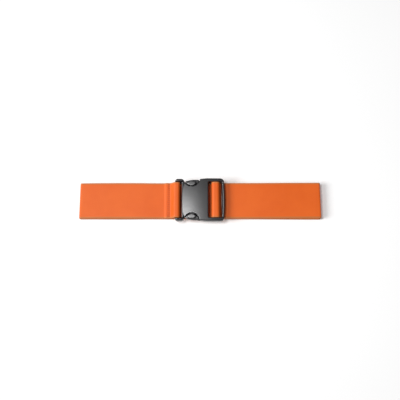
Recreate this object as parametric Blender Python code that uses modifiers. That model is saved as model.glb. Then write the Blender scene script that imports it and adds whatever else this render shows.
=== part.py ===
"""Luggage strap: flat webbing with a side-release buckle, folded flat on itself for storage.

The strap lies along X with its front face up (+Z). The buckle sits in the middle of the front run. The plug is on
the left (-X) with the webbing sewn round its crossbar; the socket is on the right, and the webbing threads its two
bars as a ladder lock. The rest of the webbing is folded to and fro behind the front run, in layers counted from
the top: layer 1 is the front run's own height, and layer 0 is one ply higher, where the run lies on a second ply.
"""
import math

import bmesh
import bpy

# Webbing
WEBBING_WIDTH = 0.0500
WEBBING_THICKNESS = 0.0013
PLY_GAP = 0.0003
FOLDED_LENGTH = 0.3376          # outside of one end fold to outside of the other
LAYERS_BELOW = 5                # layers between the surface and the front run
PLUG_RUN_INSET = 0.0188         # from the end fold in to where the plug's run meets the pack
FRONT_RUN_INSET = 0.0088        # from the end fold in to where the pack meets the socket's run
TAIL_INSET = 0.0488             # from the end fold in to the end of the free tail
FOLD_STEPS = 8

# Buckle, both halves
BUCKLE_THICKNESS = 0.0124
WEBBING_SIDE_CLEARANCE = 0.0003
RAIL_WIDTH = 0.0047
FIT_GAP = 0.0003                # between pieces that touch or turn on each other

# Socket, along X
MOUTH_X = -0.0260
MOUTH_BULGE = 0.0042            # how far the mouth's middle stands forward of its corners
SOCKET_CAVITY_END = 0.0090
LADDER_START = 0.0112
MIDDLE_BAR_START = 0.0173
MIDDLE_BAR_WIDTH = 0.0086
MIDDLE_BAR_HEIGHT = 0.0048
MIDDLE_BAR_EDGE = 0.0011
OUTER_BAR_WIDTH = 0.0048
OUTER_SLOT_WIDTH = 0.0037
LADDER_CORNER = 0.0022          # rounding of the ladder opening's corners, seen from above
RAIL_CORNER = 0.0034
END_BULGE = 0.0012              # how far the outer bar's middle stands out past its corners
SHOULDER_X = 0.0084             # where the widening sides reach the full width
MOUTH_CORNER_INSET = 0.0060     # from the full half-width in to the mouth's corner
MOUTH_SIDE_INSET = 0.0037
MOUTH_CORNER_LENGTH = 0.0012    # along X, from the mouth's corner to where the side begins
SOCKET_EDGE = 0.0016
TOP_WALL = 0.0025
THROAT_LENGTH = 0.0036
POST_DEPTH = 0.0022             # how far the catch posts stand in from the chamber's sides
CHAMBER_WALL = 0.0048
OUTER_BAR_DROP = 0.0018         # from the face down to the outer bar's top
BAR_FACE_DROP = 0.0004          # from the face down to the webbing over the middle bar
RISE_SWEEP = 0.0026             # radius of the webbing's turn up into the outer slot
TAIL_SWEEP = 0.0022             # radius of its turn from the inner slot to the tail

# Side windows and squeeze buttons
WINDOW_X = -0.0112
WINDOW_HALF_LENGTH = 0.0109     # half-axis of the oval window along the socket
WINDOW_DEPTH = 0.0109           # and across it, from the window's centre in
WINDOW_INSET = 0.0004           # its centre, in from the full half-width
BUTTON_GAP = 0.0008             # from the window's edge to the button
BUTTON_RECESS = 0.0011          # the button's outer face at its highest, in from the full half-width
BUTTON_CREST_X = -0.0060
BUTTON_CREST_RADIUS = 0.0380    # curve of the outer face, seen from above
BUTTON_FRONT_X = -0.0022
BUTTON_REAR_X = -0.0200
PRONG_CLEARANCE = 0.0004        # above and below a prong in the cavity
PRONG_ROOT_WIDTH = 0.0040
PRONG_ROOT_INSET = 0.0118       # the root's outer side, in from the full half-width
PRONG_TIP_X = 0.0065
PRONG_TIP_WIDTH = 0.0052
PRONG_TIP_RISE = 0.0012         # the tip's inner side, out from the root's
PRONG_EDGE = 0.0006
CATCH_RUN = 0.0016              # along X, from the button's foot back to the arm

# Plug
CROSSBAR_DIAMETER = 0.0040
CROSSBAR_X = -0.0327
LUG_START = -0.0347
LUG_END = -0.0225
LUG_WIDTH = 0.0043
LUG_HEIGHT = 0.0104
LUG_EDGE = 0.0017
BASE_START = -0.0259
BASE_END = -0.0222
BASE_HEIGHT = 0.0052
BASE_EDGE = 0.0008
TONGUE_WIDTH = 0.0064
TONGUE_TIP_X = 0.0050
TONGUE_EDGE = 0.0010
TONGUE_STEP = 0.0003            # the tongue is this much thinner than the base, on each face

# Sewn end
SEWN_END_X = -0.0462            # where the under ply stops
STEP_LENGTH = 0.0034            # how far the top ply takes to come down off it
RISE_START_X = -0.0420          # where both plies leave the stack for the crossbar
STITCH_ROWS_X = (-0.0447, -0.0429)
STITCH_WIDTH = 0.0005
STITCH_HEIGHT = 0.0003
STITCH_GAP = 0.0001
STITCH_MARGIN = 0.0015          # from the webbing's edge to the end of a row

CUT_MARGIN = 0.0050             # how far a cutter runs past what it cuts
COLLECTION = "luggage_strap"

# Worked out from the sizes above
PLY = WEBBING_THICKNESS + PLY_GAP
HALF_LENGTH = FOLDED_LENGTH / 2
PLUG_RUN_CUT = HALF_LENGTH - PLUG_RUN_INSET
FRONT_RUN_CUT = HALF_LENGTH - FRONT_RUN_INSET
TAIL_END = HALF_LENGTH - TAIL_INSET
HALF_WEBBING = WEBBING_WIDTH / 2
HALF_OPENING = HALF_WEBBING + WEBBING_SIDE_CLEARANCE
HALF_BUCKLE = HALF_OPENING + RAIL_WIDTH
BUCKLE_BOTTOM = LAYERS_BELOW * PLY
BUCKLE_TOP = BUCKLE_BOTTOM + BUCKLE_THICKNESS
BUCKLE_MIDDLE = BUCKLE_BOTTOM + BUCKLE_THICKNESS / 2
SOCKET_CORNER_X = MOUTH_X + MOUTH_BULGE
SLOT_END_X = MIDDLE_BAR_START + MIDDLE_BAR_WIDTH + OUTER_SLOT_WIDTH
SOCKET_END_X = SLOT_END_X + OUTER_BAR_WIDTH
CAVITY_HEIGHT = BUCKLE_THICKNESS - 2 * TOP_WALL
HALF_CHAMBER = HALF_BUCKLE - CHAMBER_WALL
HALF_THROAT = HALF_CHAMBER - POST_DEPTH
THROAT_END_X = SOCKET_CORNER_X + THROAT_LENGTH
WINDOW_Y = HALF_BUCKLE - WINDOW_INSET


def layer(number):
    """Height of a layer's middle, counted from the top; layer 6 lies on the surface."""
    return WEBBING_THICKNESS / 2 + (LAYERS_BELOW + 1 - number) * PLY


def arc(centre, radius, start, end, steps):
    """Points of an arc in a plane, from one angle to another in degrees, both ends included."""
    angles = [math.radians(start + (end - start) * i / steps) for i in range(steps + 1)]
    return [(centre[0] + radius * math.cos(a), centre[1] + radius * math.sin(a)) for a in angles]


def end_fold(side, z_from, z_to, outer_radius=None):
    """Half turn of the webbing at one end of the stack; an inner fold shares its outer fold's centre."""
    radius = abs(z_to - z_from) / 2
    reach = outer_radius if outer_radius else radius
    centre = (side * (HALF_LENGTH - reach - WEBBING_THICKNESS / 2), (z_from + z_to) / 2)
    start = 90 if z_from > z_to else -90
    turn = start + side * (180 if z_from < z_to else -180)
    return arc(centre, radius, start, turn, FOLD_STEPS)


def slope(x_from, z_from, x_to, z_to, steps=8):
    """S-shaped change of height: half a cosine wave between two level stretches."""
    share = [i / steps for i in range(steps + 1)]
    return [(x_from + (x_to - x_from) * s, z_from + (z_to - z_from) * (1 - math.cos(math.pi * s)) / 2)
            for s in share]


def plug_run_route():
    """Sewn end, round the crossbar, left front run, left outer fold, and back along layer 4."""
    wrap_radius = CROSSBAR_DIAMETER / 2 + FIT_GAP + WEBBING_THICKNESS / 2
    under_z = BUCKLE_MIDDLE - wrap_radius
    over_z = BUCKLE_MIDDLE + wrap_radius
    route = [(SEWN_END_X, layer(1))]
    route += slope(RISE_START_X, layer(1), CROSSBAR_X - wrap_radius / 3, under_z)
    route += arc((CROSSBAR_X, BUCKLE_MIDDLE), wrap_radius, -90, 90, FOLD_STEPS)
    route += slope(CROSSBAR_X - wrap_radius / 3, over_z, RISE_START_X, layer(0))
    step_x = SEWN_END_X - WEBBING_THICKNESS / 2
    route += slope(step_x, layer(0), step_x - STEP_LENGTH, layer(1), 6)
    route += end_fold(-1, layer(1), layer(4))
    route += [(PLUG_RUN_CUT - PLY_GAP, layer(4))]
    return route


def pack_route():
    """The stored webbing: from layer 4 to and fro down to the surface, and up to the front run."""
    outer = (layer(3) - layer(6)) / 2
    route = [(PLUG_RUN_CUT, layer(4))]
    route += end_fold(1, layer(4), layer(5), outer)
    route += end_fold(-1, layer(5), layer(6))
    route += end_fold(1, layer(6), layer(3))
    route += end_fold(-1, layer(3), layer(2), (layer(1) - layer(4)) / 2)
    route += end_fold(1, layer(2), layer(0))
    route += [(FRONT_RUN_CUT, layer(0))]
    return route


def socket_run_route():
    """Right front run, under the outer bar, over the middle bar, and down to the tail."""
    half = WEBBING_THICKNESS / 2
    over_z = BUCKLE_TOP - BAR_FACE_DROP - half
    right_x = MIDDLE_BAR_START + MIDDLE_BAR_WIDTH + FIT_GAP + half
    left_x = MIDDLE_BAR_START - FIT_GAP - half
    corner = half + MIDDLE_BAR_EDGE
    route = [(FRONT_RUN_CUT - PLY_GAP, layer(0))]
    route += arc((right_x + RISE_SWEEP, layer(0) + RISE_SWEEP), RISE_SWEEP, 270, 180, 6)
    route += arc((right_x - corner, over_z - corner), corner, 0, 90, 5)
    route += arc((left_x + corner, over_z - corner), corner, 90, 180, 5)
    route += arc((left_x + TAIL_SWEEP, layer(1) + TAIL_SWEEP), TAIL_SWEEP, 180, 270, 6)
    return route


def tail_route():
    """Free tail, flat under the right front run."""
    start = socket_run_route()[-1][0] + PLY_GAP
    return [(start, layer(1)), (TAIL_END, layer(1))]


def clear_scene():
    """Remove whatever the file holds."""
    for item in list(bpy.data.objects):
        bpy.data.objects.remove(item)


def make_material(name, colour, roughness):
    """Principled material in one colour."""
    material = bpy.data.materials.new(name)
    material.use_nodes = True
    shader = material.node_tree.nodes["Principled BSDF"]
    shader.inputs["Base Color"].default_value = (*colour, 1.0)
    shader.inputs["Roughness"].default_value = roughness
    shader.inputs["Metallic"].default_value = 0.0
    material.diffuse_color = (*colour, 1.0)
    return material


def add_object(name, mesh, collection, material=None):
    """Put a mesh into a collection as a named object."""
    item = bpy.data.objects.new(name, mesh)
    if material:
        mesh.materials.append(material)
    collection.objects.link(item)
    return item


def add_cutter(name, mesh, collection):
    """Guide object for a Boolean, never part of the model."""
    item = add_object(name, mesh, collection)
    item.hide_render = True
    item.display_type = "WIRE"
    return item


def ribbon(name, route, collection, material):
    """Webbing along a route in the XZ plane: its line is drawn across the width and given a thickness."""
    shape = bmesh.new()
    points = [shape.verts.new((x, -HALF_WEBBING, z)) for x, z in route]
    edges = [shape.edges.new(pair) for pair in zip(points, points[1:])]
    swept = bmesh.ops.extrude_edge_only(shape, edges=edges)["geom"]
    bmesh.ops.translate(shape, vec=(0, WEBBING_WIDTH, 0),
                        verts=[v for v in swept if isinstance(v, bmesh.types.BMVert)])
    bmesh.ops.remove_doubles(shape, verts=shape.verts, dist=0.00001)
    mesh = bpy.data.meshes.new(name)
    shape.to_mesh(mesh)
    shape.free()
    item = add_object(name, mesh, collection, material)
    thick = item.modifiers.new("thickness", "SOLIDIFY")
    thick.thickness = WEBBING_THICKNESS
    thick.offset = 0
    thick.use_even_offset = True
    return item


def plate(name, outline, z_middle, height):
    """Mesh of a flat outline of given height, filled as a 2D curve and made a closed mesh."""
    curve = bpy.data.curves.new(name, "CURVE")
    curve.dimensions = "2D"
    curve.fill_mode = "BOTH"
    curve.extrude = height / 2
    spline = curve.splines.new("POLY")
    spline.points.add(len(outline) - 1)
    for point, (x, y) in zip(spline.points, outline):
        point.co = (x, y, 0, 1)
    spline.use_cyclic_u = True
    item = bpy.data.objects.new(name, curve)
    bpy.context.scene.collection.objects.link(item)
    bpy.context.view_layer.update()
    evaluated = item.evaluated_get(bpy.context.evaluated_depsgraph_get())
    mesh = bpy.data.meshes.new_from_object(evaluated)
    bpy.data.objects.remove(item)
    shape = bmesh.new()
    shape.from_mesh(mesh)
    bmesh.ops.remove_doubles(shape, verts=shape.verts, dist=0.000001)
    bmesh.ops.translate(shape, vec=(0, 0, z_middle), verts=shape.verts)
    bmesh.ops.dissolve_limit(shape, angle_limit=0.001, verts=shape.verts, edges=shape.edges)
    bmesh.ops.recalc_face_normals(shape, faces=shape.faces)
    shape.to_mesh(mesh)
    shape.free()
    return mesh


def box(name, low, high, edge=0.0, steps=2):
    """Mesh of a box between two corners, its edges rounded."""
    shape = bmesh.new()
    bmesh.ops.create_cube(shape, size=1)
    bmesh.ops.scale(shape, vec=[b - a for a, b in zip(low, high)], verts=shape.verts)
    bmesh.ops.translate(shape, vec=[(a + b) / 2 for a, b in zip(low, high)], verts=shape.verts)
    if edge:
        bmesh.ops.bevel(shape, geom=shape.edges[:], offset=edge, segments=steps, profile=0.5, affect="EDGES")
    mesh = bpy.data.meshes.new(name)
    shape.to_mesh(mesh)
    shape.free()
    return mesh


def cylinder(name, centre, radius, length, along_y=False, segments=40, depth=None):
    """Mesh of a closed cylinder standing along Z, or lying along Y; depth makes it oval across X."""
    shape = bmesh.new()
    bmesh.ops.create_cone(shape, cap_ends=True, segments=segments, radius1=radius, radius2=radius, depth=length)
    if depth:
        bmesh.ops.scale(shape, vec=(1, depth / radius, 1), verts=shape.verts)
    if along_y:
        turned = {v: (v.co.x, -v.co.z, v.co.y) for v in shape.verts}
        for vertex, place in turned.items():
            vertex.co = place
    bmesh.ops.translate(shape, vec=centre, verts=shape.verts)
    mesh = bpy.data.meshes.new(name)
    shape.to_mesh(mesh)
    shape.free()
    return mesh


def combine(item, guide, operation):
    """Boolean of an object with a guide."""
    step = item.modifiers.new(guide.name, "BOOLEAN")
    step.operation = operation
    step.solver = "EXACT"
    step.object = guide


def round_edges(item, width, steps=2, angle=60):
    """Bevel of the edges sharper than an angle."""
    bevel = item.modifiers.new("round_edges", "BEVEL")
    bevel.width = width
    bevel.segments = steps
    bevel.limit_method = "ANGLE"
    bevel.angle_limit = math.radians(angle)


def mouth_arc(steps=12):
    """Convex front edge of the socket, from its lower corner to its upper one."""
    half = HALF_BUCKLE - MOUTH_CORNER_INSET
    radius = (half ** 2 + MOUTH_BULGE ** 2) / (2 * MOUTH_BULGE)
    swing = math.degrees(math.asin(half / radius))
    return arc((MOUTH_X + radius, 0), radius, 180 + swing, 180 - swing, steps)


def socket_side(steps=8):
    """Upper side of the socket: a curve that widens from the mouth and is level at the shoulder."""
    start = SOCKET_CORNER_X + MOUTH_CORNER_LENGTH
    length = SHOULDER_X - start
    places = [start + length * i / steps for i in range(steps + 1)]
    side = [(x, HALF_BUCKLE - MOUTH_SIDE_INSET * ((SHOULDER_X - x) / length) ** 2) for x in places]
    corner = arc((SOCKET_END_X - END_BULGE - RAIL_CORNER, HALF_BUCKLE - RAIL_CORNER), RAIL_CORNER, 90, 0, 5)
    return side + corner


def end_arc(steps=10):
    """Convex outer end of the socket, between its two corners."""
    half = HALF_BUCKLE - RAIL_CORNER
    radius = (half ** 2 + END_BULGE ** 2) / (2 * END_BULGE)
    swing = math.degrees(math.asin(half / radius))
    return arc((SOCKET_END_X - radius, 0), radius, swing, -swing, steps)[1:-1]


def socket_outline():
    """Whole outline of the socket, seen from above."""
    upper = socket_side()
    lower = [(x, -y) for x, y in reversed(upper)]
    return mouth_arc() + upper + end_arc() + lower


def make_socket(parts, guides, material):
    """Socket: plate with mouth, chamber, windows and ladder opening, and the middle bar put across it."""
    mesh = plate("socket", socket_outline(), BUCKLE_MIDDLE, BUCKLE_THICKNESS)
    socket = add_object("socket", mesh, parts, material)
    round_edges(socket, SOCKET_EDGE, 3)
    half_cavity = CAVITY_HEIGHT / 2
    low = BUCKLE_MIDDLE - half_cavity
    high = BUCKLE_MIDDLE + half_cavity
    cuts = [
        ("throat_cut", box("throat_cut", (MOUTH_X - CUT_MARGIN, -HALF_THROAT, low),
                           (THROAT_END_X + FIT_GAP, HALF_THROAT, high))),
        ("chamber_cut", box("chamber_cut", (THROAT_END_X, -HALF_CHAMBER, low),
                            (SOCKET_CAVITY_END, HALF_CHAMBER, high))),
        ("ladder_cut", box("ladder_cut", (LADDER_START, -HALF_OPENING, BUCKLE_BOTTOM - CUT_MARGIN),
                           (SLOT_END_X, HALF_OPENING, BUCKLE_TOP + CUT_MARGIN), LADDER_CORNER, 3)),
        ("under_bar_cut", box("under_bar_cut", (SLOT_END_X - CUT_MARGIN, -HALF_OPENING, BUCKLE_BOTTOM - CUT_MARGIN),
                              (SOCKET_END_X + CUT_MARGIN, HALF_OPENING, layer(0) + PLY))),
        ("over_bar_cut", box("over_bar_cut", (SLOT_END_X - CUT_MARGIN, -HALF_OPENING, BUCKLE_TOP - OUTER_BAR_DROP),
                             (SOCKET_END_X + CUT_MARGIN, HALF_OPENING, BUCKLE_TOP + CUT_MARGIN))),
    ]
    for side, word in ((1, "upper"), (-1, "lower")):
        name = f"window_cut_{word}"
        cuts.append((name, cylinder(name, (WINDOW_X, side * WINDOW_Y, BUCKLE_MIDDLE), WINDOW_HALF_LENGTH,
                                    BUCKLE_THICKNESS + 2 * CUT_MARGIN, depth=WINDOW_DEPTH)))
    for name, cut in cuts:
        combine(socket, add_cutter(name, cut, guides), "DIFFERENCE")
    bar_top = BUCKLE_TOP - BAR_FACE_DROP - WEBBING_THICKNESS - FIT_GAP
    half_bar = HALF_OPENING + RAIL_WIDTH / 2
    bar = box("middle_bar", (MIDDLE_BAR_START, -half_bar, bar_top - MIDDLE_BAR_HEIGHT),
              (MIDDLE_BAR_START + MIDDLE_BAR_WIDTH, half_bar, bar_top), MIDDLE_BAR_EDGE, 2)
    combine(socket, add_cutter("middle_bar", bar, guides), "UNION")
    return socket


def make_plug(parts, guides, material):
    """Plug body: base, crossbar, two side lugs and the centre guide tongue."""
    half_base = BASE_HEIGHT / 2
    lug_inner = HALF_OPENING
    mesh = box("plug", (BASE_START, -lug_inner - LUG_WIDTH / 2, BUCKLE_MIDDLE - half_base),
               (BASE_END, lug_inner + LUG_WIDTH / 2, BUCKLE_MIDDLE + half_base), BASE_EDGE)
    plug = add_object("plug", mesh, parts, material)
    bar = cylinder("crossbar", (CROSSBAR_X, 0, BUCKLE_MIDDLE), CROSSBAR_DIAMETER / 2,
                   2 * lug_inner + LUG_WIDTH, along_y=True, segments=20)
    half_tongue = half_base - TONGUE_STEP
    tongue = box("tongue", ((BASE_START + BASE_END) / 2, -TONGUE_WIDTH / 2, BUCKLE_MIDDLE - half_tongue),
                 (TONGUE_TIP_X, TONGUE_WIDTH / 2, BUCKLE_MIDDLE + half_tongue), TONGUE_EDGE)
    pieces = [("crossbar", bar), ("tongue", tongue)]
    for side, word in ((1, "upper"), (-1, "lower")):
        near, far = sorted((side * lug_inner, side * (lug_inner + LUG_WIDTH)))
        name = f"lug_{word}"
        pieces.append((name, box(name, (LUG_START, near, BUCKLE_MIDDLE - LUG_HEIGHT / 2),
                                 (LUG_END, far, BUCKLE_MIDDLE + LUG_HEIGHT / 2), LUG_EDGE, 3)))
    for name, piece in pieces:
        combine(plug, add_cutter(name, piece, guides), "UNION")
    return plug


def window_arc(gap, y_from, y_to, side, steps=5):
    """Stretch of the oval window's edge, a gap in from it; side is 1 at its front end and -1 at its rear."""
    along = WINDOW_HALF_LENGTH - gap
    across = WINDOW_DEPTH - gap
    heights = [y_from + (y_to - y_from) * i / steps for i in range(steps + 1)]
    return [(WINDOW_X + side * along * math.sqrt(1 - ((WINDOW_Y - y) / across) ** 2), y) for y in heights]


def button_crest(steps=8):
    """Outer face of the squeeze button, seen from above, from its front end to its rear."""
    places = [BUTTON_FRONT_X + (BUTTON_REAR_X - BUTTON_FRONT_X) * i / steps for i in range(steps + 1)]
    return [(x, HALF_BUCKLE - BUTTON_RECESS - (x - BUTTON_CREST_X) ** 2 / (2 * BUTTON_CREST_RADIUS)) for x in places]


def prong_outline():
    """Upper prong seen from above: root, arm, rounded tip, and the squeeze button with its catch shoulder."""
    root_x = BASE_END + FIT_GAP
    root_outer = HALF_BUCKLE - PRONG_ROOT_INSET
    root_inner = root_outer - PRONG_ROOT_WIDTH
    tip_radius = PRONG_TIP_WIDTH / 2
    tip_y = root_inner + PRONG_TIP_RISE + tip_radius
    crest = button_crest()
    front = window_arc(BUTTON_GAP, HALF_THROAT, crest[0][1] - BUTTON_GAP, 1)
    rear = window_arc(BUTTON_GAP, crest[-1][1] - BUTTON_GAP, HALF_THROAT, -1)
    outline = [(root_x, root_inner)]
    outline += arc((PRONG_TIP_X - tip_radius, tip_y), tip_radius, -90, 90, 8)
    outline += front + crest + rear
    outline += [(rear[-1][0] - CATCH_RUN, root_outer + CATCH_RUN), (root_x, root_outer)]
    return outline


def make_prong(side, word, parts, material):
    """One flexing prong of the plug, with its origin on the living hinge at its root."""
    name = f"prong_{word}"
    root = (BASE_END + FIT_GAP, side * (HALF_BUCKLE - PRONG_ROOT_INSET - PRONG_ROOT_WIDTH / 2), BUCKLE_MIDDLE)
    outline = [(x - root[0], side * y - root[1]) for x, y in prong_outline()]
    if side < 0:
        outline.reverse()
    mesh = plate(name, outline, 0, CAVITY_HEIGHT - 2 * PRONG_CLEARANCE)
    prong = add_object(name, mesh, parts, material)
    prong.location = root
    round_edges(prong, PRONG_EDGE)
    return prong


def make_stitches(parts, material):
    """Thread rows across the sewn end, on the top ply."""
    top = layer(0) + WEBBING_THICKNESS / 2 + STITCH_GAP
    half_row = HALF_WEBBING - STITCH_MARGIN
    for number, x in enumerate(STITCH_ROWS_X, start=1):
        name = f"stitch_row_{number}"
        mesh = box(name, (x - STITCH_WIDTH / 2, -half_row, top),
                   (x + STITCH_WIDTH / 2, half_row, top + STITCH_HEIGHT), STITCH_HEIGHT / 3)
        add_object(name, mesh, parts, material)


def smooth(parts):
    """Smooth shading with the real edges kept sharp."""
    for item in parts.objects:
        item.data.shade_smooth()
        item.data.set_sharp_from_angle(angle=math.radians(35))


def main():
    clear_scene()
    parts = bpy.data.collections.new(COLLECTION)
    guides = bpy.data.collections.new("guides")
    bpy.context.scene.collection.children.link(parts)
    bpy.context.scene.collection.children.link(guides)
    black = make_material("black_plastic", (0.012, 0.011, 0.012), 0.38)
    make_socket(parts, guides, black)
    black_plug = make_material("black_plastic_plug", (0.013, 0.012, 0.013), 0.36)
    make_plug(parts, guides, black_plug)
    for side, word in ((1, "upper"), (-1, "lower")):
        make_prong(side, word, parts, make_material(f"prong_{word}_plastic", (0.014, 0.013, 0.014), 0.36))
    orange = (0.83, 0.13, 0.02)
    for name, route in (("webbing_plug_run", plug_run_route()), ("webbing_pack", pack_route()),
                        ("webbing_socket_run", socket_run_route()), ("webbing_tail", tail_route())):
        ribbon(name, route, parts, make_material(f"{name}_weave", orange, 0.8))
    make_stitches(parts, make_material("sewing_thread", (0.5, 0.06, 0.01), 0.7))
    smooth(parts)


main()
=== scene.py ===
"""Luggage strap: orange flat webbing with a black side-release buckle, folded flat for storage."""
import math

import bpy
import numpy as np
from mathutils import Matrix, Vector


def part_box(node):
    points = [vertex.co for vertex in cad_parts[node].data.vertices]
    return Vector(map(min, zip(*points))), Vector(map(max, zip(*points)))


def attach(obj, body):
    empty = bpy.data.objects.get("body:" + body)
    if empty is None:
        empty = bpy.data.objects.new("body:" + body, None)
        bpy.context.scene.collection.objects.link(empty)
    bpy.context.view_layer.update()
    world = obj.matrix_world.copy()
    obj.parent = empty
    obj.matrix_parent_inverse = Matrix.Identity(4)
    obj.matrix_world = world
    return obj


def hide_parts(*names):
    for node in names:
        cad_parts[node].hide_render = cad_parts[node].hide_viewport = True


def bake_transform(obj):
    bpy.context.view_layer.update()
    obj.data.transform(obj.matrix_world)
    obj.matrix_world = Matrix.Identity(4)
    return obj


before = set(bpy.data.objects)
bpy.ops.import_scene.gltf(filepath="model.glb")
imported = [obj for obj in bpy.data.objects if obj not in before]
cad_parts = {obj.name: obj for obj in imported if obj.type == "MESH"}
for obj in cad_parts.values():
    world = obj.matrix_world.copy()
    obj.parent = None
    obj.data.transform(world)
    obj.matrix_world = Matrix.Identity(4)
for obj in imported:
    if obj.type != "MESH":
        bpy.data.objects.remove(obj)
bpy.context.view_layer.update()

MM = 0.001
FAR = 80 * MM                        # past the end of anything on the buckle

# Places taken from the frame
socket_low, socket_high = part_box("socket")
plug_low, plug_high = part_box("plug")
prong_low, prong_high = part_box("prong_upper")
pack_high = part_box("webbing_pack")[1]
sewn_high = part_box("webbing_plug_run")[1]
tail_low, tail_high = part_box("webbing_tail")
row_places = [sum(corner.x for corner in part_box(f"stitch_row_{number}")) / 2 for number in (1, 2)]

# Grid on which the mouldings' surfaces are found
CELL = 0.36 * MM
FIELD_MARGIN = 2.5 * MM
SURFACE_MOVES = 4

# Webbing and its folded layers
HALF_LENGTH = pack_high.x
HALF_WEBBING = pack_high.y
THICKNESS = tail_high.z - tail_low.z
PLY = pack_high.z - tail_high.z      # from one layer's middle to the next one's
MIDDLE_Z = (socket_low.z + socket_high.z) / 2
FIT_GAP = 0.3 * MM
RUN_STEP = 3.0 * MM
FOLD_STEPS = 14
LEAD = 2 * MM                        # straight stretch at a cut end

# Webbing at the plug's end
SEWN_END_X = -46.2 * MM
RISE_START_X = -42.0 * MM
STEP_LENGTH = 3.4 * MM
CROSSBAR_RADIUS = 2.0 * MM
CROSSBAR_X = plug_low.x + CROSSBAR_RADIUS
LOOP_SLACK = 1.3 * MM

# Webbing at the ladder's end
RISE_SWEEP = 2.6 * MM
TAIL_SWEEP = 2.2 * MM
MIDDLE_BAR = (17.6 * MM, 25.9 * MM)
MIDDLE_BAR_EDGE = 2.8 * MM
MIDDLE_BAR_HEIGHT = 5.8 * MM
MIDDLE_BAR_TOP = MIDDLE_Z + 4.2 * MM

# Webbing's section, and how loosely it lies
SELVEDGE_WIDTH = 2.1 * MM
GROOVE_WIDTH = 0.28 * MM
GROOVE_DEPTH = 0.14 * MM
PRESS_SHARE = 0.28
PRESS_WIDTH = 0.8 * MM
LOOSE_FROM = 58 * MM
LOOSE_OVER = 30 * MM
WANDER = 0.45 * MM
WANDER_LENGTH = 430 * MM
WANDER_START = 0.7
WAVE = 0.12 * MM
WAVE_LENGTH = 83 * MM
EDGE_DROOP = 0.10 * MM
SETTLE = 0.02 * MM

# Stitches
STITCHES_IN_ROW = 17
ROW_INSET = 1.5 * MM
THREAD_RADIUS = 0.32 * MM
THREAD_RISE = 0.24 * MM
THREAD_SUNK = 0.20 * MM
STITCH_SHARE = 0.86
STITCH_LEAN = 0.25 * MM
STITCH_STRAY = 0.12 * MM
STRAY_STEP = 2.4                     # radians of the stray's wave from one stitch to the next

# Socket's outline and top
HALF_OPENING = HALF_WEBBING + FIT_GAP
MOUTH_BULGE = 4.2 * MM
MOUTH_CORNER_Y = 24.3 * MM
MOUTH_POWER = 4
MOUTH_STEEPNESS = 1.25               # of the mouth's curve, near its corners
MOUTH_EDGE = 1.8 * MM
END_BULGE = 1.2 * MM
END_BULGE_Y = 26 * MM
END_CORNER = 5 * MM
SHOULDER_X = 10.0 * MM
SIDE_NARROWING = 3.9 * MM
SIDE_POWER = 1.2
SOCKET_EDGE = 1.7 * MM
CROWN_X = 8.0 * MM
CROWN_RADIUS_ALONG = 330 * MM
CROWN_RADIUS_ACROSS = 800 * MM

# Socket's cavity and side windows
CAVITY_HALF_HEIGHT = 3.7 * MM
CAVITY_EDGE = 0.9 * MM
CHAMBER_HALF_WIDTH = 25.2 * MM
THROAT_HALF_WIDTH = 23.0 * MM
THROAT_END_X = -18.2 * MM
CHAMBER_END_X = 9.0 * MM
WINDOW_CENTRE = (-11.2 * MM, socket_high.y - 0.4 * MM)
WINDOW_SIZE = (10.9 * MM, 10.9 * MM)
WINDOW_EDGE = 0.8 * MM

# Socket's ladder: one opening with two bars across it
LADDER_X = (11.4 * MM, 29.6 * MM)
LADDER_CORNER = 1.8 * MM
LADDER_EDGES = (1.0 * MM, 0.2 * MM)  # upper, lower
RIM_WIDTH = 3.3 * MM
RIM_DROP = 1.8 * MM
RIM_EDGE = 1.6 * MM
SLAB_EDGE = 0.8 * MM
RIM_FILLET = 0.6 * MM
BAR_ROOT = 1.2 * MM
BAR_FILLET = 1.0 * MM

# Low lips and ledges that close the gaps beside the webbing and in front of the buttons
LIP_X = (LADDER_X[0] - 1 * MM, MIDDLE_BAR[0] - 2.0 * MM)
LIP_Y = (HALF_WEBBING - 0.6 * MM, HALF_OPENING + 1 * MM)
LIP_HEIGHT = 1.5 * MM
LIP_EDGE = 0.35 * MM
LIP_FILLET = 0.4 * MM
LEDGE_X = (-3.4 * MM, 1.5 * MM)
LEDGE_Y = (24.0 * MM, 28.3 * MM)
LEDGE_HEIGHT = 1.0 * MM
SKIRT_X = (-29.4 * MM, -24.0 * MM)

# Plug
BASE_X = (-25.6 * MM, -22.2 * MM)
BASE_HALF_WIDTH = 27.5 * MM
BASE_Z = (-2.6 * MM, 1.9 * MM)       # this and the next heights are from the buckle's middle
BASE_EDGE = 1.2 * MM
CROSSBAR_HALF_LENGTH = 27 * MM
KNOB_INNER_Y = 20.0 * MM
KNOB_RADIUS = 3.8 * MM
KNOB_INNER_EDGE = 0.5 * MM
KNOB_Z = (-5.8 * MM, 5.2 * MM)
KNOB_CROWN = 3.0 * MM
KNOB_FOOT_EDGE = 0.6 * MM
TONGUE_START_X = -24 * MM
TONGUE_HALF_SIZE = (3.2 * MM, 2.3 * MM)
TONGUE_EDGE = 0.9 * MM
TAPER_LENGTH = 7 * MM
TAPER = 0.5 * MM
TONGUE_GROOVE_X = (-19 * MM, plug_high.x - 5 * MM)
TONGUE_GROOVE_HALF_WIDTH = 1.1 * MM
TONGUE_GROOVE_EDGE = 1.0 * MM
TONGUE_WEB_HALF_HEIGHT = 1.5 * MM
TONGUE_GROOVE_LIP = 0.6 * MM
TONGUE_FILLET = 1.5 * MM
CROSSBAR_FILLET = 1.0 * MM
KNOB_FILLET = 1.2 * MM

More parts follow.
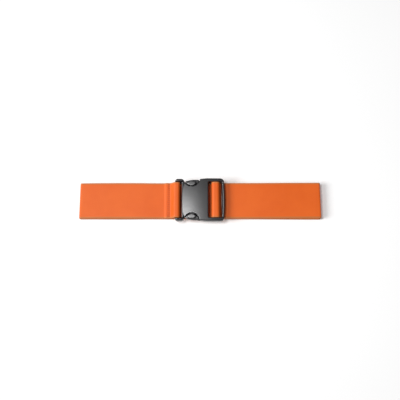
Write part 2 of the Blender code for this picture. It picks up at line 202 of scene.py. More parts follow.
# Prongs and their buttons
ARM_ROOT = (prong_low.x + 0.2 * MM, 16.2 * MM)
ARM_TIP = (prong_high.x - 2.6 * MM, 18.0 * MM)
ARM_RADIUS = 2.0 * MM
ARM_GROWTH = 0.6 * MM                # more radius at the tip than at the root
ARM_HALF_HEIGHT = 3.3 * MM
ARM_FILLET = 1.5 * MM
PRONG_EDGE = 1.0 * MM
BUTTON_GAP = 0.4 * MM
BUTTON_CREST = (-6 * MM, prong_high.y - 0.4 * MM)
BUTTON_CREST_RADIUS = 38 * MM
BUTTON_EDGE = 2.0 * MM
BUTTON_FALL = 1.5 * MM
BUTTON_FALL_Y = (26.0 * MM, 29.0 * MM)
BUTTON_PAD = (-11.6 * MM, 23.2 * MM)
BUTTON_PAD_SIZE = (6.9 * MM, 3.4 * MM)
BUTTON_PAD_RISE = 1.4 * MM
BUTTON_PAD_SLOPE = 45                # share of the rise gained in a metre forwards
BUTTON_PAD_POWER = 10


def layer(number):
    """Height of a layer's middle, counted down from layer 0, the front run, to layer 6 on the surface."""
    return pack_high.z - THICKNESS / 2 - number * PLY


def smaller(a, b, blend):
    """Smooth minimum of two fields: the lower one, eased by a parabola where they are within the blend."""
    near = np.maximum(blend - np.abs(a - b), 0) / blend
    return np.minimum(a, b) - near * near * blend / 4


def larger(a, b, blend):
    """Smooth maximum of two fields, the mirror of the smooth minimum."""
    return -smaller(-a, -b, blend)


def rounded_block(x, y, z, low, high, radius):
    """Distance to a block between two corners with all its edges rounded by the radius."""
    reach = [np.abs(p - (a + b) / 2) - ((b - a) / 2 - radius) for p, a, b in zip((x, y, z), low, high)]
    outside = np.sqrt(sum(np.maximum(r, 0) ** 2 for r in reach))
    return outside + np.minimum(np.maximum(np.maximum(reach[0], reach[1]), reach[2]), 0) - radius


def rounded_section(a, b, low, high, radius):
    """Distance to a rectangle between two corners in a plane, its corners rounded by the radius."""
    first = np.abs(a - (low[0] + high[0]) / 2) - ((high[0] - low[0]) / 2 - radius)
    second = np.abs(b - (low[1] + high[1]) / 2) - ((high[1] - low[1]) / 2 - radius)
    outside = np.hypot(np.maximum(first, 0), np.maximum(second, 0))
    return outside + np.minimum(np.maximum(first, second), 0) - radius


def oval(x, y, centre, size):
    """Near distance to an ellipse: its own radius share less one, times its smaller half-axis."""
    return (np.hypot((x - centre[0]) / size[0], (y - centre[1]) / size[1]) - 1) * min(size)


def cell_points(value, field, start, cell):
    """One point in each grid cell that the field's zero crosses: the mean of the crossings on the cell's
    edges, moved down the field's slope onto the surface. Also gives each cell's point number."""
    inside = value < 0
    corners = np.array([(i, j, k) for i in (0, 1) for j in (0, 1) for k in (0, 1)])
    size = np.array(value.shape) - 1
    count = sum(inside[c[0]:size[0] + c[0], c[1]:size[1] + c[1], c[2]:size[2] + c[2]].astype(np.int8)
                for c in corners)
    cells = np.argwhere((count > 0) & (count < len(corners)))
    number = np.full(size, -1)
    number[tuple(cells.T)] = np.arange(len(cells))
    total = np.zeros((len(cells), 3))
    crossed = np.zeros(len(cells))
    for first in range(len(corners)):
        for second in range(first + 1, len(corners)):
            if np.abs(corners[first] - corners[second]).sum() != 1:
                continue
            a = value[tuple((cells + corners[first]).T)]
            b = value[tuple((cells + corners[second]).T)]
            cut = (a < 0) != (b < 0)
            share = np.where(cut, a / np.where(cut, a - b, 1), 0)[:, None]
            total += cut[:, None] * (corners[first] + share * (corners[second] - corners[first]))
            crossed += cut
    points = start + (cells + total / crossed[:, None]) * cell
    probe = cell * 0.05
    for _ in range(SURFACE_MOVES):
        here = field(*points.T)
        slope = np.stack([field(*(points + probe * axis).T) - field(*(points - probe * axis).T)
                          for axis in np.eye(3)], 1) / (2 * probe)
        move = (here / np.maximum((slope ** 2).sum(1), 0.05))[:, None] * slope
        points = points - np.clip(move, -cell / 3, cell / 3)
    return points, number


def edge_faces(inside, number):
    """One four-sided face for each grid edge that the surface crosses, between the points of the four cells
    round the edge, turned to face out of the solid."""
    faces = []
    for k in range(3):
        a, b = (k + 1) % 3, (k + 2) % 3
        ahead = np.take(inside, range(1, inside.shape[k]), k)
        behind = np.take(inside, range(inside.shape[k] - 1), k)
        edge = np.argwhere(ahead != behind)
        outward = behind[tuple(edge.T)]
        steps = np.zeros((4, 3), int)
        steps[:, a] = (-1, 0, 0, -1)
        steps[:, b] = (-1, -1, 0, 0)
        quad = np.stack([number[tuple((edge + step).T)] for step in steps], 1)
        faces.append(np.where(outward[:, None], quad, quad[:, ::-1]))
    return np.concatenate(faces)


def surface_of(field, low, high, cell):
    """Closed surface where a field of x, y and z is zero, found on a grid of cells round the two corners."""
    axes = [np.arange(a - FIELD_MARGIN, b + FIELD_MARGIN, cell) for a, b in zip(low, high)]
    value = field(*np.meshgrid(*axes, indexing="ij"))
    start = np.array([axis[0] for axis in axes])
    points, number = cell_points(value, field, start, cell)
    return points, edge_faces(value < 0, number)


def put_mesh(name, points, faces, material, flat_map=None):
    """Smooth-shaded object at the origin, its place in its mesh; flat_map is its own (along, across)."""
    mesh = bpy.data.meshes.new(name)
    mesh.from_pydata(points.tolist(), [], faces.tolist() if isinstance(faces, np.ndarray) else faces)
    mesh.polygons.foreach_set("use_smooth", np.ones(len(mesh.polygons), bool))
    if flat_map is not None:
        corner = np.zeros(len(mesh.loops), int)
        mesh.loops.foreach_get("vertex_index", corner)
        mesh.uv_layers.new(name="cloth").data.foreach_set("uv", flat_map[corner].ravel())
    mesh.materials.append(material)
    mesh.update()
    item = bpy.data.objects.new(name, mesh)
    bpy.context.scene.collection.objects.link(item)
    return item


def side_half_width(x):
    """Half-width of the socket: full from the shoulder back, and less by a power law towards the mouth."""
    share = np.clip((SHOULDER_X - x) / (SHOULDER_X - socket_low.x - MOUTH_BULGE), 0, 1.3)
    return socket_high.y - SIDE_NARROWING * share ** SIDE_POWER


def socket_plate(x, y, up):
    """Solid plate: its mouth bulges by a power of the width and its end by the square of it. The top is
    crowned as a parabola both ways, the underside a quarter as much, and all edges are rounded."""
    wide = np.abs(y)
    half_height = (socket_high.z - socket_low.z) / 2
    mouth = socket_low.x + MOUTH_BULGE * (wide / MOUTH_CORNER_Y) ** MOUTH_POWER - x
    plan = larger(wide - side_half_width(x), mouth / MOUTH_STEEPNESS, MOUTH_EDGE)
    plan = larger(plan, x - socket_end(y), END_CORNER)
    crown = (x - CROWN_X) ** 2 / (2 * CROWN_RADIUS_ALONG) + y ** 2 / (2 * CROWN_RADIUS_ACROSS)
    thick = np.maximum(up - half_height + crown, -up - half_height + crown / 4)
    return larger(plan, thick, SOCKET_EDGE)


def socket_end(y):
    """Where the socket ends, a parabola across its width."""
    return socket_high.x - END_BULGE * (y / END_BULGE_Y) ** 2


def socket_cavity(x, y, up):
    """Hollow for the plug: a throat from the mouth in, then a wider chamber."""
    throat = rounded_block(x, y, up, (-FAR, -THROAT_HALF_WIDTH, -CAVITY_HALF_HEIGHT),
                           (THROAT_END_X + MM, THROAT_HALF_WIDTH, CAVITY_HALF_HEIGHT), CAVITY_EDGE)
    chamber = rounded_block(x, y, up, (THROAT_END_X, -CHAMBER_HALF_WIDTH, -CAVITY_HALF_HEIGHT),
                            (CHAMBER_END_X, CHAMBER_HALF_WIDTH, CAVITY_HALF_HEIGHT), CAVITY_EDGE)
    return np.minimum(throat, chamber)


def ladder_bars(x, y, z):
    """The round-edged middle bar, and the outer bar: a low slab with a rim raised along the socket's end."""
    end_x = socket_end(y)
    foot_z = layer(0) + PLY
    middle = rounded_section(x, z, (MIDDLE_BAR[0], MIDDLE_BAR_TOP - MIDDLE_BAR_HEIGHT),
                             (MIDDLE_BAR[1], MIDDLE_BAR_TOP), MIDDLE_BAR_EDGE)
    rim = rounded_section(x, z, (end_x - RIM_WIDTH, foot_z), (end_x, socket_high.z - RIM_DROP), RIM_EDGE)
    slab = rounded_section(x, z, (LADDER_X[1], foot_z), (end_x, MIDDLE_Z), SLAB_EDGE)
    outer = smaller(rim, slab, RIM_FILLET)
    return np.maximum(np.minimum(middle, outer), np.abs(y) - HALF_OPENING - BAR_ROOT)


def low_strips(x, y, z, along, across, height):
    """Pair of low strips, one at each side, that stand on the socket's bottom face level."""
    return rounded_block(x, np.abs(y), z, (along[0], across[0], socket_low.z),
                         (along[1], across[1], socket_low.z + height), LIP_EDGE)


def socket_field(x, y, z):
    """Socket: the plate less its cavity, its two oval side windows and the ladder opening, with the bars put
    across it, a lip beside the inner slot and a ledge in front of each window."""
    up = z - MIDDLE_Z
    body = larger(socket_plate(x, y, up), -socket_cavity(x, y, up), CAVITY_EDGE)
    body = larger(body, -oval(x, np.abs(y), WINDOW_CENTRE, WINDOW_SIZE), WINDOW_EDGE)
    ladder = rounded_section(x, y, (LADDER_X[0], -HALF_OPENING), (FAR, HALF_OPENING), LADDER_CORNER)
    body = larger(body, -ladder, np.where(up > 0, *LADDER_EDGES))
    body = smaller(body, ladder_bars(x, y, z), BAR_FILLET)
    strips = np.minimum(low_strips(x, y, z, LIP_X, LIP_Y, LIP_HEIGHT),
                        low_strips(x, y, z, LEDGE_X, LEDGE_Y, LEDGE_HEIGHT))
    return smaller(body, strips, LIP_FILLET)


def plug_lugs(x, y, up):
    """Two lugs: a round-cornered knob in plan, crowned above and flat below, kept beside the opening."""
    wide = np.abs(y)
    knob = rounded_section(x, wide, (plug_low.x, KNOB_INNER_Y), (BASE_X[1], plug_high.y), KNOB_RADIUS)
    knob = larger(knob, HALF_OPENING - wide, KNOB_INNER_EDGE)
    return larger(larger(knob, up - KNOB_Z[1], KNOB_CROWN), KNOB_Z[0] - up, KNOB_FOOT_EDGE)


def plug_tongue(x, y, up):
    """Centre tongue: a block that tapers over its last stretch, with a groove down its top and bottom."""
    half_width, half_height = TONGUE_HALF_SIZE
    taper = np.clip((x - (plug_high.x - TAPER_LENGTH)) / TAPER_LENGTH, 0, 1)
    tongue = rounded_block(x, y, up, (TONGUE_START_X, -half_width, -half_height),
                           (plug_high.x, half_width, half_height), TONGUE_EDGE) + taper * TAPER
    groove = rounded_section(x, y, (TONGUE_GROOVE_X[0], -TONGUE_GROOVE_HALF_WIDTH),
                             (TONGUE_GROOVE_X[1], TONGUE_GROOVE_HALF_WIDTH), TONGUE_GROOVE_EDGE)
    return larger(tongue, -np.maximum(groove, TONGUE_WEB_HALF_HEIGHT - np.abs(up)), TONGUE_GROOVE_LIP)


def plug_field(x, y, z):
    """Plug: base bar, grooved centre tongue, round crossbar, two lugs and a low skirt under the webbing's
    sides, joined with soft fillets."""
    up = z - MIDDLE_Z
    base = rounded_block(x, y, up, (BASE_X[0], -BASE_HALF_WIDTH, BASE_Z[0]),
                         (BASE_X[1], BASE_HALF_WIDTH, BASE_Z[1]), BASE_EDGE)
    crossbar = np.maximum(np.hypot(x - CROSSBAR_X, up) - CROSSBAR_RADIUS, np.abs(y) - CROSSBAR_HALF_LENGTH)
    body = smaller(base, plug_tongue(x, y, up), TONGUE_FILLET)
    body = smaller(body, crossbar, CROSSBAR_FILLET)
    body = smaller(body, plug_lugs(x, y, up), KNOB_FILLET)
    return smaller(body, low_strips(x, y, z, SKIRT_X, LIP_Y, LIP_HEIGHT), LIP_FILLET)


def prong_arm(x, y):
    """Plan of the arm: distance to a line from root to tip, less a radius that grows along it."""
    root, tip = np.array(ARM_ROOT), np.array(ARM_TIP)
    span = tip - root
    share = np.clip(((x - root[0]) * span[0] + (y - root[1]) * span[1]) / (span @ span), 0, 1)
    away = np.hypot(x - root[0] - share * span[0], y - root[1] - share * span[1])
    return np.maximum(away - (ARM_RADIUS + ARM_GROWTH * share), prong_low.x - x)


def prong_button(x, y):
    """Plan of the button: the window's oval less a gap, cut off by a parabola along the buckle's side."""
    size = [half - BUTTON_GAP for half in WINDOW_SIZE]
    crest = y - (BUTTON_CREST[1] - (x - BUTTON_CREST[0]) ** 2 / (2 * BUTTON_CREST_RADIUS))
    return larger(oval(x, y, WINDOW_CENTRE, size), crest, BUTTON_EDGE)


def prong_field(x, y, z):
    """Upper prong: the arm and the squeeze button, both one thickness. On the button an oval pad slopes up a
    little forwards and falls by a high power to its rim, and the outer edge falls off by a square law."""
    up = np.abs(z - MIDDLE_Z)
    plan = smaller(prong_arm(x, y), prong_button(x, y), ARM_FILLET)
    rim = np.hypot((x - BUTTON_PAD[0]) / BUTTON_PAD_SIZE[0], (y - BUTTON_PAD[1]) / BUTTON_PAD_SIZE[1])
    forwards = 1 + BUTTON_PAD_SLOPE * (x - BUTTON_PAD[0])
    pad = BUTTON_PAD_RISE * forwards * (1 - np.clip(rim, 0, 1) ** BUTTON_PAD_POWER)
    beyond = (y - BUTTON_FALL_Y[0]) / (BUTTON_FALL_Y[1] - BUTTON_FALL_Y[0])
    fall = BUTTON_FALL * np.clip(beyond, 0, 1) ** 2
    return larger(plan, up - ARM_HALF_HEIGHT - pad + fall, PRONG_EDGE)


def lower(field):
    """The same field on the other side of the XZ plane."""
    return lambda x, y, z: field(x, -y, z)


def straight(x_from, z_from, x_to, z_to):
    """Points of a straight stretch, about a run step apart."""
    steps = max(2, int(math.hypot(x_to - x_from, z_to - z_from) / RUN_STEP))
    share = np.linspace(0, 1, steps + 1)
    return np.stack([x_from + (x_to - x_from) * share, z_from + (z_to - z_from) * share], 1)


def turn(centre, radius, start, end, steps=FOLD_STEPS):
    """Points of an arc round a centre, between two angles in degrees."""
    angle = np.radians(np.linspace(start, end, steps + 1))
    return np.stack([centre[0] + radius * np.cos(angle), centre[1] + radius * np.sin(angle)], 1)


def end_fold(side, z_from, z_to, reach=None):
    """Half turn at one end of the stack; an inner fold takes the reach of the fold round it."""
    radius = abs(z_to - z_from) / 2
    x = side * (HALF_LENGTH - (reach or radius) - THICKNESS / 2)
    start = 90 if z_from > z_to else -90
    swing = side * (180 if z_from < z_to else -180)
    return turn((x, (z_from + z_to) / 2), radius, start, start + swing)


def slope(x_from, z_from, x_to, z_to, steps=24):
    """S-shaped change of height: half a cosine wave between two level stretches."""
    share = np.linspace(0, 1, steps + 1)
    ease = (1 - np.cos(np.pi * share)) / 2
    return np.stack([x_from + (x_to - x_from) * share, z_from + (z_to - z_from) * ease], 1)


def route(*stretches):
    """One line through the stretches, with straight runs between them and no point twice."""
    points = [stretches[0]]
    for stretch in stretches[1:]:
        points.append(straight(*points[-1][-1], *stretch[0])[1:-1])
        points.append(stretch)
    line = np.concatenate(points)
    apart = np.hypot(*np.diff(line, axis=0).T) > 0.02 * MM
    return line[np.concatenate([[True], apart])]


def sewn_route():
    """Sewn end, round the crossbar, the left front run, the left outer fold and back along layer 4."""
    wrap = CROSSBAR_RADIUS + FIT_GAP + THICKNESS / 2
    loop_x = CROSSBAR_X - wrap / 3
    step_x = SEWN_END_X - THICKNESS / 2
    return route(straight(SEWN_END_X, layer(1), SEWN_END_X + LEAD, layer(1)),
                 slope(RISE_START_X, layer(1), loop_x, MIDDLE_Z - wrap),
                 turn((CROSSBAR_X + LOOP_SLACK, MIDDLE_Z), wrap, -90, 90, steps=24),
                 slope(loop_x, MIDDLE_Z + wrap, RISE_START_X, layer(0)),
                 slope(step_x, layer(0), step_x - STEP_LENGTH, layer(1), steps=12),
                 end_fold(-1, layer(1), layer(4)),
                 straight(sewn_high.x - LEAD, layer(4), sewn_high.x, layer(4)))


def folded_route():
    """The stored layers down to the surface and up again, then the right front run, which rises to the
    ladder, goes over its middle bar and turns back underneath."""
    over_z = MIDDLE_BAR_TOP + FIT_GAP + THICKNESS / 2
    right_x = MIDDLE_BAR[1] + FIT_GAP + THICKNESS / 2
    left_x = MIDDLE_BAR[0] - FIT_GAP - THICKNESS / 2
    corner = THICKNESS / 2 + MIDDLE_BAR_EDGE
    outer = 1.5 * PLY
    start_x = sewn_high.x + FIT_GAP
    return route(straight(start_x, layer(4), sewn_high.x + LEAD, layer(4)),
                 end_fold(1, layer(4), layer(5), outer),
                 end_fold(-1, layer(5), layer(6)),
                 end_fold(1, layer(6), layer(3)),
                 end_fold(-1, layer(3), layer(2), outer),
                 end_fold(1, layer(2), layer(0)),
                 turn((right_x + RISE_SWEEP, layer(0) + RISE_SWEEP), RISE_SWEEP, 270, 180),
                 turn((right_x - corner, over_z - corner), corner, 0, 90),
                 turn((left_x + corner, over_z - corner), corner, 90, 180),
                 turn((left_x + TAIL_SWEEP, layer(1) + TAIL_SWEEP), TAIL_SWEEP, 180, 270))


def tail_route():
    """Free tail, flat under the right front run."""
    return route(straight(tail_low.x, layer(1), tail_low.x + LEAD, layer(1)),
                 straight(tail_high.x - LEAD, layer(1), tail_high.x, layer(1)))


def webbing_section(steps=20, edge_steps=5):
    """Upper half of the webbing's section, from one selvedge to the other: flat, with a round edge at each
    side and a shallow groove inside each selvedge, shaped as a bell curve."""
    radius = THICKNESS / 2
    angle = np.radians(np.linspace(0, 90, edge_steps + 1))
    groove = HALF_WEBBING - SELVEDGE_WIDTH
    beside = groove + GROOVE_WIDTH * np.array((1.8, 1.2, 0.6, 0, -0.6, -1.2, -1.8))
    flat = np.concatenate([beside, np.linspace(beside[-1], -beside[-1], steps + 1)[1:-1], -beside[::-1]])
    edge = HALF_WEBBING - radius + radius * np.cos(angle)
    across = np.concatenate([edge, flat, -edge[::-1]])
    dip = GROOVE_DEPTH * np.exp(-((np.abs(flat) - groove) / GROOVE_WIDTH) ** 2)
    height = np.concatenate([radius * np.sin(angle), radius - dip, radius * np.sin(angle[::-1])])
    return across, height


def pressed_share(line, places):
    """Share of its thickness that the webbing keeps along the line: less by a bell curve at each pressed
    place on the top two layers."""
    share = np.ones(len(line))
    for place in places:
        near = np.exp(-((line[:, 0] - place) / PRESS_WIDTH) ** 2)
        share -= PRESS_SHARE * near * (line[:, 1] > layer(1) - PLY / 2)
    return share


def strap_faces(rows, ring, half):
    """Faces of a closed section carried through the rows: four-sided ones round it, and at each end one strip
    from its upper half to its lower half."""
    index = np.arange(rows * ring).reshape(rows, ring)
    after = np.roll(index, -1, 1)
    faces = np.stack([index[:-1], after[:-1], after[1:], index[1:]], 2).reshape(-1, 4).tolist()
    top = np.arange(half)
    under = (ring - top) % ring
    strip = [[top[i], under[i], under[i + 1], top[i + 1]] for i in range(half - 1)]
    for row, flip in ((0, False), (rows - 1, True)):
        end = [[int(index[row, c]) for c in dict.fromkeys(quad)] for quad in strip]
        faces += [quad[::-1] if flip else quad for quad in end]
    return faces


def webbing(name, line, material, pressed=()):
    """Webbing carried along a line in the XZ plane: at each place the closed section stands square to the
    line, thinner where it is pressed. Away from the buckle it wanders sideways by one long sine wave and lies
    in a shorter, flatter one, and its edges droop by a square law. The last two grow with the height."""
    tangent = np.gradient(line, axis=0)
    tangent /= np.hypot(*tangent.T)[:, None]
    normal = np.stack([-tangent[:, 1], tangent[:, 0]], 1)
    along = np.concatenate([[0], np.cumsum(np.hypot(*np.diff(line, axis=0).T))])
    across, height = webbing_section()
    half = len(across)
    across = np.concatenate([across, across[-2:0:-1]])
    height = np.concatenate([height, -height[-2:0:-1]])
    thin = pressed_share(line, pressed)[:, None]
    loose = 1 - np.exp(-(np.maximum(np.abs(line[:, 0]) - LOOSE_FROM, 0) / LOOSE_OVER) ** 2)[:, None]
    x = line[:, :1] + normal[:, :1] * height * thin
    z = line[:, 1:] + normal[:, 1:] * height * thin
    y = across + WANDER * loose * np.sin(along * 2 * np.pi / WANDER_LENGTH + WANDER_START)[:, None]
    lift = WAVE * loose * np.sin(x * 2 * np.pi / WAVE_LENGTH) - EDGE_DROOP * (y / HALF_WEBBING) ** 2
    z = z + (lift - SETTLE) * z / pack_high.z
    points = np.stack([x, y, z], 2).reshape(-1, 3)
    rows, ring = len(line), len(across)
    flat_map = np.stack([np.repeat(along, ring), np.tile(across, rows)], 1)
    return put_mesh(name, points, strap_faces(rows, ring, half), material, flat_map), along[-1]


def stitch_row(name, x, material):
    """Row of thread stitches across the webbing: each is a short arc of thread that rises out of the cloth
    and goes back into it, a round section carried along half a sine wave and thinner at its ends. Each strays
    and leans a little along the webbing."""
    pitch = 2 * (HALF_WEBBING - ROW_INSET) / STITCHES_IN_ROW
    share = np.linspace(0, 1, 9)
    angle = np.linspace(0, 2 * np.pi, 9)[:-1]
    arch = np.sin(np.pi * share)
    radius = (THREAD_RADIUS * (0.5 + 0.5 * arch))[None, :, None]
    stitch = np.arange(STITCHES_IN_ROW)
    centre = -HALF_WEBBING + ROW_INSET + pitch * (stitch + 0.5)
    stray = STITCH_STRAY * np.sin(stitch * STRAY_STEP)
    top = layer(0) + THICKNESS / 2 - THREAD_SUNK
    y = centre[:, None, None] + (share[None, :, None] - 0.5) * pitch * STITCH_SHARE
    z = top + THREAD_RISE * arch[None, :, None] + radius * np.sin(angle)
    lean = (share - 0.5)[None, :, None] * STITCH_LEAN
    x = x + stray[:, None, None] + lean + radius * np.cos(angle)
    points = np.stack(np.broadcast_arrays(x, y, z), 3).reshape(-1, 3)
    index = np.arange(len(points)).reshape(len(stitch), len(share), len(angle))
    after = np.roll(index, -1, 2)
    sides = np.stack([index[:, :-1], index[:, 1:], after[:, 1:], after[:, :-1]], 3).reshape(-1, 4).tolist()
    caps = index[:, 0, :].tolist() + index[:, -1, ::-1].tolist()
    flat_map = np.stack([np.tile(np.repeat(share, len(angle)), len(stitch)) * pitch,
                         np.tile(angle, len(stitch) * len(share)) / (2 * np.pi)], 1)
    return put_mesh(name, points, sides + caps, material, flat_map)


class Nodes:
    """Short way to add shader nodes to one material."""

    def __init__(self, name):
        self.material = bpy.data.materials.new(name)
        self.material.use_nodes = True
        self.tree = self.material.node_tree
        self.shader = self.tree.nodes["Principled BSDF"]

    def join(self, source, socket):
        """Link an output to a socket, or set the socket where the source is a plain value."""
        if hasattr(source, "links"):
            self.tree.links.new(source, socket)
        else:
            socket.default_value = source

    def math(self, operation, *values):
        """Math node."""
        node = self.tree.nodes.new("ShaderNodeMath")
        node.operation = operation
        for value, socket in zip(values, node.inputs):
            self.join(value, socket)
        return node.outputs[0]

    def ridges(self, value):
        """One rounded ridge for each whole number that the value goes through: a sine without its sign."""
        return self.math("ABSOLUTE", self.math("SINE", self.math("MULTIPLY", value, math.pi)))

    def noise(self, vector, scale, detail=2.0, roughness=0.5):
        """Noise from 0 to 1."""
        node = self.tree.nodes.new("ShaderNodeTexNoise")
        self.join(vector, node.inputs["Vector"])
        for name, value in (("Scale", scale), ("Detail", detail), ("Roughness", roughness)):
            node.inputs[name].default_value = value
        return node.outputs["Fac"]

    def span(self, value, low, high, to_low, to_high):
        """Value carried from one range to another, held at its ends."""
        node = self.tree.nodes.new("ShaderNodeMapRange")
        for place, part in enumerate((value, low, high, to_low, to_high)):
            self.join(part, node.inputs[place])
        return node.outputs[0]

    def mix(self, share, first, second):
        """Mix of two colours."""
        node = self.tree.nodes.new("ShaderNodeMix")
        node.data_type = "RGBA"
        self.join(share, node.inputs["Factor"])
        for name, colour in (("A", first), ("B", second)):
            socket = next(s for s in node.inputs if s.name == name and s.type == "RGBA")
            self.join(colour if hasattr(colour, "links") else (*colour, 1.0), socket)
        return next(s for s in node.outputs if s.type == "RGBA")

    def bump(self, height, strength, distance):
        """Bump from a height."""
        node = self.tree.nodes.new("ShaderNodeBump")
        node.inputs["Strength"].default_value = strength
        node.inputs["Distance"].default_value = distance
        self.join(height, node.inputs["Height"])
        return node.outputs[0]

    def place(self):
        """Object coordinates."""
        return self.tree.nodes.new("ShaderNodeTexCoord").outputs["Object"]

    def cloth(self):
        """The cloth's or the thread's own two coordinates: along it, in metres, and across or round it."""
        node = self.tree.nodes.new("ShaderNodeUVMap")
        node.uv_map = "cloth"
        parts = self.tree.nodes.new("ShaderNodeSeparateXYZ")
        self.tree.links.new(node.outputs[0], parts.inputs[0])
        return parts.outputs[0], parts.outputs[1]

    def finish(self, **values):
        """Set or link the shader's sockets by their names."""
        for name, value in values.items():
            self.join(value, self.shader.inputs[name.replace("_", " ")])
        return self.material


def moulded_plastic(name, tone=1.0):
    """Black moulded plastic: satin skin with a fine grain, faint flow marks and rubbed patches."""
    nodes = Nodes(name)
    place = nodes.place()
    grain = nodes.noise(place, 2600.0, 2.0, 0.6)
    flow = nodes.noise(place, 45.0, 2.0)
    rub = nodes.span(nodes.noise(place, 240.0, 4.0, 0.65), 0.58, 0.78, 0.0, 1.0)
    skin_black = tuple(c * tone for c in (0.010, 0.0095, 0.0110))
    rubbed_black = tuple(c * tone for c in (0.022, 0.021, 0.024))
    colour = nodes.mix(nodes.math("MULTIPLY", rub, 0.5), skin_black, rubbed_black)
    rough = nodes.math("ADD", nodes.span(flow, 0.3, 0.7, 0.28, 0.31), nodes.math("MULTIPLY", rub, 0.05))
    return nodes.finish(Base_Color=colour, Roughness=rough, Normal=nodes.bump(grain, 0.18, 0.06 * MM),
                        Specular_IOR_Level=0.95)


def woven_webbing(name):
    """Orange woven polyester: lengthwise warp ribs crossed by picks that step over each other, with painted
    shade in their grooves, a browner band along each selvedge, uneven dye and a slight bloom of loose fibre."""
    rib_pitch = 0.86 * MM
    pick_pitch = 1.30 * MM
    selvedge_from, selvedge_full = HALF_WEBBING - 2.4 * MM, HALF_WEBBING - 1.7 * MM
    dark_orange, bright_orange = (0.76, 0.116, 0.004), (0.82, 0.139, 0.008)
    # The red after the two oranges is painted shade for the weave's grooves; the tan is a browner band along
    # the selvedges.
    groove_shade_red, selvedge_tan = (0.46, 0.035, 0.002), (0.53, 0.175, 0.042)
    nodes = Nodes(name)
    along, across = nodes.cloth()
    rib = nodes.math("DIVIDE", across, rib_pitch)
    half_step = nodes.math("MULTIPLY", nodes.math("FLOOR", rib), 0.5)
    pick = nodes.math("ADD", nodes.math("DIVIDE", along, pick_pitch), half_step)
    float_shape = nodes.span(nodes.math("POWER", nodes.ridges(pick), 0.6), 0.0, 1.0, 0.45, 1.0)
    weave = nodes.math("MULTIPLY", nodes.math("POWER", nodes.ridges(rib), 0.6), float_shape)
    place = nodes.place()
    fibre = nodes.noise(place, 3000.0, 2.0, 0.7)
    dye = nodes.noise(place, 22.0, 3.0, 0.6)
    edge = nodes.span(nodes.math("ABSOLUTE", across), selvedge_from, selvedge_full, 0.0, 1.0)
    face = nodes.mix(nodes.span(dye, 0.3, 0.7, 0.0, 1.0), dark_orange, bright_orange)
    # Painted shade: where the weave is lowest, up to 0.4 of the colour is the darker red.
    groove_shaded = nodes.mix(nodes.span(weave, 0.0, 0.6, 0.40, 0.0), face, groove_shade_red)
    # Browner band along each selvedge, growing from 2.4 mm to 1.7 mm in from the edge.
    colour = nodes.mix(nodes.math("MULTIPLY", edge, 0.8), groove_shaded, selvedge_tan)
    height = nodes.math("ADD", weave, nodes.math("MULTIPLY", fibre, 0.25))
    return nodes.finish(Base_Color=colour, Roughness=nodes.span(fibre, 0.3, 0.7, 0.46, 0.58),
                        Normal=nodes.bump(height, 0.5, 0.22 * MM), Specular_IOR_Level=0.40,
                        Sheen_Weight=0.06, Sheen_Roughness=0.4)


def sewing_thread(name):
    """Twisted thread of a slightly darker orange: slanting lay lines, with painted shade in the grooves
    between them.
    """
    lay_pitch = 0.35 * MM
    nodes = Nodes(name)
    along, around = nodes.cloth()
    lay = nodes.ridges(nodes.math("ADD", nodes.math("DIVIDE", along, lay_pitch), around))
    # Painted shade: the thread is dark in the grooves between the lay lines and lighter on their crests.
    colour = nodes.mix(lay, (0.26, 0.035, 0.006), (0.52, 0.095, 0.016))
    return nodes.finish(Base_Color=colour, Roughness=nodes.span(lay, 0.0, 1.0, 0.75, 0.55),
                        Normal=nodes.bump(lay, 0.5, 0.06 * MM))


def make_moulding(name, field, node, material):
    """One moulding of the buckle: the surface of its field, on the body that has its node's name."""
    piece = put_mesh(name, *surface_of(field, *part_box(node), CELL), material)
    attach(piece, node)
    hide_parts(node)


def make_buckle():
    """The socket, the plug and its two prongs."""
    socket_black = moulded_plastic("socket_moulding")
    plug_black = moulded_plastic("plug_moulding", tone=1.1)
    make_moulding("socket_shell", socket_field, "socket", socket_black)
    make_moulding("plug_body", plug_field, "plug", plug_black)
    make_moulding("squeeze_prong_upper", prong_field, "prong_upper", plug_black)
    make_moulding("squeeze_prong_lower", lower(prong_field), "prong_lower", plug_black)


def make_webbing():
    """One length of webbing in three pieces: the sewn run between the plug and the socket, the folded run,
    which goes with the socket, and the tail from the ladder to its free end."""
    orange = woven_webbing("orange_webbing")
    sewn, sewn_length = webbing("webbing_sewn_run", sewn_route(), orange, row_places)
    folded, folded_length = webbing("webbing_folded_run", folded_route(), orange)
    tail, tail_length = webbing("webbing_free_tail", tail_route(), orange)
    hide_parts("webbing_plug_run")
    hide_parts("webbing_pack", "webbing_socket_run")
    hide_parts("webbing_tail")
    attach(folded, "socket")
    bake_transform(sewn)
    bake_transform(tail)


def make_stitches():
    """The two rows of thread that hold the sewn end."""
    thread = sewing_thread("orange_thread")
    for number, x in enumerate(row_places, start=1):
        row = stitch_row(f"sewn_stitches_{number}", x, thread)
        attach(row, "plug")
        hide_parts(f"stitch_row_{number}")


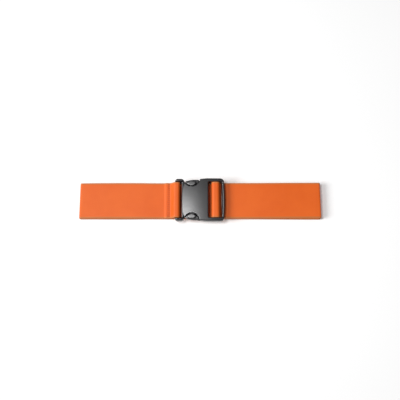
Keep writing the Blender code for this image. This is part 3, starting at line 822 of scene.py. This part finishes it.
def make_floor():
    """Plain pale table top, a hair under the strap."""
    nodes = Nodes("pale_floor")
    shade = nodes.noise(nodes.place(), 3.0, 2.0)
    nodes.finish(Base_Color=nodes.mix(shade, (0.90, 0.90, 0.90), (0.94, 0.94, 0.94)), Roughness=0.9,
                 Emission_Color=(1, 1, 1, 1), Emission_Strength=0.12)
    half_size = 3.0
    corners = np.array([(-1, -1, 0), (1, -1, 0), (1, 1, 0), (-1, 1, 0)]) * half_size
    points = corners - np.array((0, 0, 0.05 * MM))
    floor = put_mesh("table_top", points, [[0, 1, 2, 3]], nodes.material)


def make_light(name, kind, direction, distance, power, spread):
    """Soft light at a distance, turned to face the buckle: a square panel, or a sun with a wide disc."""
    data = bpy.data.lights.new(name, kind)
    data.energy = power
    if kind == "SUN":
        data.angle = spread
    else:
        data.shape = "SQUARE"
        data.size = spread
    light = bpy.data.objects.new(name, data)
    aim = Vector(direction).normalized()
    light.location = aim * distance
    light.rotation_euler = aim.to_track_quat("Z", "Y").to_euler()
    bpy.context.scene.collection.objects.link(light)


def make_studio():
    """Even key light from the left, a small soft box above, and fill all round."""
    make_light("key_light", "SUN", (-0.82, -0.12, 0.56), 2.0, power=2.55, spread=math.radians(26))
    make_light("top_light", "AREA", (-0.28, 0.02, 0.95), 0.95, power=4.0, spread=0.24)
    world = bpy.data.worlds.new("studio")
    world.use_nodes = True
    fill = world.node_tree.nodes["Background"]
    fill.inputs["Color"].default_value = (1, 1, 1, 1)
    fill.inputs["Strength"].default_value = 0.20
    bpy.context.scene.world = world
    bpy.context.scene.view_settings.view_transform = "Standard"


def make_camera():
    """Camera almost straight above, leaning a little towards the strap's near edge."""
    elevation = math.radians(79.1)
    distance = 0.70
    target = Vector((0, 0.8 * MM, 10 * MM))
    back = Vector((0, -math.cos(elevation), math.sin(elevation)))
    aim = back.to_track_quat("Z", "Y").to_matrix().to_4x4()
    data = bpy.data.cameras.new("camera")
    data.sensor_width = 36
    data.lens = 45.05
    camera = bpy.data.objects.new("camera", data)
    camera.matrix_world = Matrix.Translation(target + back * distance) @ aim
    bpy.context.scene.collection.objects.link(camera)
    bpy.context.scene.camera = camera


make_camera()
make_studio()
make_floor()
make_buckle()
make_webbing()
make_stitches()
